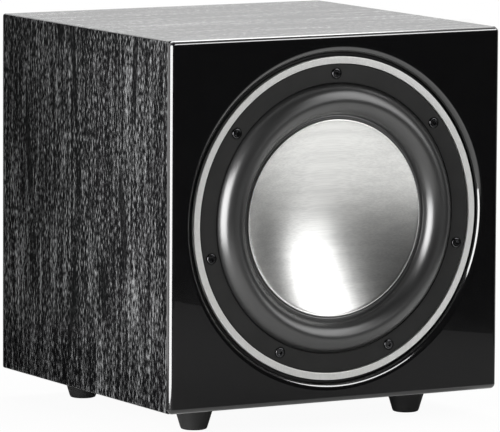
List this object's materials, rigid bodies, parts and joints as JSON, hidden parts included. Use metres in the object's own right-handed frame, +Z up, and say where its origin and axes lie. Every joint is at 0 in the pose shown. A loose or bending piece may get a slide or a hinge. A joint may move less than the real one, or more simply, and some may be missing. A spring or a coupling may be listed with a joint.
{
  "type": "active subwoofer",
  "caption": "Compact sealed active subwoofer: veneered cube case, gloss front, brushed aluminium dish driver with rubber roll, tapered feet and a rear plate amplifier.",
  "frame": {"origin": "floor level, under the middle of the overall box", "axes": "+Z up, -Y out of the front with the driver, +X to the right as seen from the front"},
  "size_m": [0.3, 0.3126, 0.314],
  "materials": {
    "black_ash_veneer": "open-pored black stained veneer",
    "mdf_black": "black painted fibreboard",
    "glue_block_wood": "raw softwood",
    "gloss_lacquer": "polished black lacquer",
    "wadding": "polyester wadding",
    "foot_rubber": "moulded matt rubber",
    "zinc_steel": "zinc plated",
    "cast_black": "black powder coat",
    "foam_black": "closed cell foam",
    "clamp_black": "matt moulded plastic",
    "satin_aluminium": "satin machined",
    "screw_black": "black oxide",
    "brass": "turned brass",
    "surround_rubber": "satin butyl rubber",
    "cone_black": "treated fibre",
    "dish_aluminium": "fine brushed",
    "former_film": "amber film",
    "copper_wire": "enamelled copper",
    "damper_cloth": "resin treated cloth",
    "soft_iron": "zinc chromate",
    "ferrite": "sintered ferrite",
    "fibre_board": "phenolic board",
    "plate_black": "fine textured black paint",
    "sink_black": "black anodised",
    "board_green": "printed circuit board",
    "knob_black": "satin moulded",
    "moulded_black": "moulded",
    "lever_white": "moulded",
    "socket_gold": "gold plated",
    "insulator_red": "moulded",
    "pin_nickel": "nickel plated",
    "fuse_glass": "clear",
    "rocker_black": "gloss moulded",
    "light_blue": "tinted lens",
    "winding_yellow": "taped winding",
    "capacitor_blue": "shrink sleeve",
    "package_black": "epoxy package",
    "lead_red": "insulated wire"
  },
  "bodies": {
    "cabinet": {"left_panel": "black_ash_veneer", "right_panel": "black_ash_veneer", "top_panel": "black_ash_veneer", "bottom_panel": "black_ash_veneer", "rear_panel": "mdf_black", "sub_baffle": "mdf_black", "front_baffle": "gloss_lacquer", "glue_blocks": "glue_block_wood", "damping_pads": "wadding", "feet": "foot_rubber", "foot_screws": "zinc_steel", "driver_basket": "cast_black", "driver_gasket": "foam_black", "clamp_ring": "clamp_black", "trim_ring": "satin_aluminium", "driver_screws": "screw_black", "driver_inserts": "brass", "surround": "surround_rubber", "spider": "damper_cloth", "top_plate": "soft_iron", "magnet": "ferrite", "yoke": "soft_iron", "terminal_block": "fibre_board", "terminal_tabs": "brass", "tinsel_leads": "copper_wire", "amp_plate": "plate_black", "amp_gasket": "foam_black", "amp_screws": "screw_black", "heat_sink": "sink_black", "heat_sink_screws": "zinc_steel", "control_board": "board_green", "potentiometer_bodies": "zinc_steel", "switch_bodies": "moulded_black", "line_socket_shells": "socket_gold", "line_socket_insulators": "insulator_red", "line_socket_contacts": "socket_gold", "mains_inlet": "moulded_black", "mains_pins": "pin_nickel", "mains_switch_body": "moulded_black", "status_light": "light_blue", "power_board": "board_green", "board_standoffs": "brass", "transformer": "winding_yellow", "transformer_bolt": "zinc_steel", "capacitors": "capacitor_blue", "output_transistors": "package_black", "speaker_lead": "lead_red"},
    "diaphragm": {"cone": "cone_black", "dish": "dish_aluminium", "voice_coil_former": "former_film", "voice_coil": "copper_wire"},
    "level_control": {"level_shaft": "zinc_steel", "level_knob": "knob_black"},
    "crossover_control": {"crossover_shaft": "zinc_steel", "crossover_knob": "knob_black"},
    "phase_switch": {"phase_lever": "lever_white"},
    "power_mode_switch": {"power_mode_lever": "lever_white"},
    "fuse_holder": {"fuse_drawer": "moulded_black", "fuse": "fuse_glass"},
    "mains_switch": {"mains_rocker": "rocker_black"}
  },
  "joints": [
    {"name": "diaphragm_travel", "type": "slide", "parent": "cabinet", "child": "diaphragm", "axis": [0, -1, 0], "range_m": [-0.009, 0.009], "stiffness_N_per_m": 3000, "deforming": ["surround", "spider", "tinsel_leads"]},
    {"name": "level_turn", "type": "hinge", "parent": "cabinet", "child": "level_control", "pos_m": [0.062, 0.13834, 0.248], "axis": [0, 1, 0], "range_deg": [-150, 150]},
    {"name": "crossover_turn", "type": "hinge", "parent": "cabinet", "child": "crossover_control", "pos_m": [0.02, 0.13834, 0.248], "axis": [0, 1, 0], "range_deg": [-150, 150]},
    {"name": "phase_slide", "type": "slide", "parent": "cabinet", "child": "phase_switch", "axis": [-1, 0, 0], "range_m": [0, 0.0052]},
    {"name": "power_mode_slide", "type": "slide", "parent": "cabinet", "child": "power_mode_switch", "axis": [-1, 0, 0], "range_m": [0, 0.0052]},
    {"name": "fuse_drawer_slide", "type": "slide", "parent": "cabinet", "child": "fuse_holder", "axis": [0, 1, 0], "range_m": [0, 0.017]},
    {"name": "mains_rock", "type": "hinge", "parent": "cabinet", "child": "mains_switch", "pos_m": [0.014, 0.13634, 0.086], "axis": [-1, 0, 0], "range_deg": [0, 16]}
  ]
}
